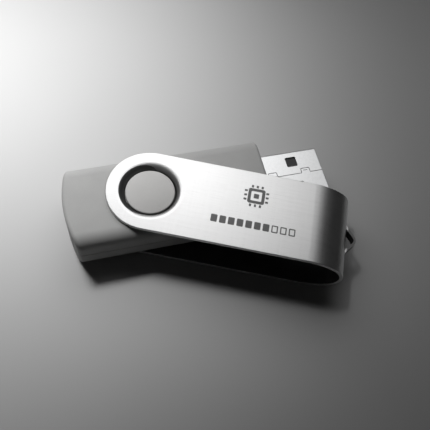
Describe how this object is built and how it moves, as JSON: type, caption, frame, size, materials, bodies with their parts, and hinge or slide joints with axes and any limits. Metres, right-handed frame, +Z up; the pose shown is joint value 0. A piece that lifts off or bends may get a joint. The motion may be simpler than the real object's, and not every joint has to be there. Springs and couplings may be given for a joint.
{
  "type": "usb flash drive",
  "caption": "Slim memory stick with a soft-touch case, a standard USB-A plug and a U-shaped brushed steel cover that swivels about two round bosses.",
  "frame": {"origin": "on the swivel axis, in the plane of the outer face of the lower cover arm, on which the drive lies", "axes": "+X from the swivel axis towards the plug's tip, +Z up out of the resting face, along the swivel axis; the cover is swung 23.7 degrees clockwise from the closed position, seen from above"},
  "size_m": [0.061, 0.035, 0.012],
  "materials": {
    "case_plastic": "soft-touch matt, fine grain",
    "cover_steel": "brushed along the arms",
    "plug_steel": "satin, nickel plated",
    "tongue_plastic": "moulded, satin",
    "contact_gold": "gold plated, bright",
    "solder": "bright tin",
    "board_laminate": "solder mask over glass laminate",
    "chip_plastic": "moulded epoxy, matt",
    "tinned_leads": "matt tin",
    "crystal_ceramic": "fired ceramic",
    "crystal_metal": "plated, bright",
    "capacitor_ceramic": "fired ceramic",
    "resistor_ceramic": "glazed ceramic",
    "led_lens": "clear moulded resin"
  },
  "bodies": {
    "drive": {"upper_shell": "case_plastic", "lower_shell": "case_plastic", "plug_shield": "plug_steel", "plug_tongue": "tongue_plastic", "contact_vbus": "contact_gold", "contact_data_minus": "contact_gold", "contact_data_plus": "contact_gold", "contact_ground": "contact_gold", "contact_solder_joints": "solder", "shield_solder_joints": "solder", "circuit_board": "board_laminate", "controller_chip": "chip_plastic", "controller_leads": "tinned_leads", "flash_memory_chip": "chip_plastic", "flash_memory_leads": "tinned_leads", "crystal_base": "crystal_ceramic", "crystal_lid": "crystal_metal", "voltage_regulator": "chip_plastic", "regulator_leads": "tinned_leads", "capacitor_bodies": "capacitor_ceramic", "resistor_bodies": "resistor_ceramic", "chip_terminals": "tinned_leads", "activity_led": "led_lens"},
    "cover": {"swivel_cover": "cover_steel"}
  },
  "joints": [
    {"name": "cover_swivel", "type": "hinge", "parent": "drive", "child": "cover", "pos_m": [0, 0, 0], "axis": [0, 0, 1], "continuous": true}
  ]
}
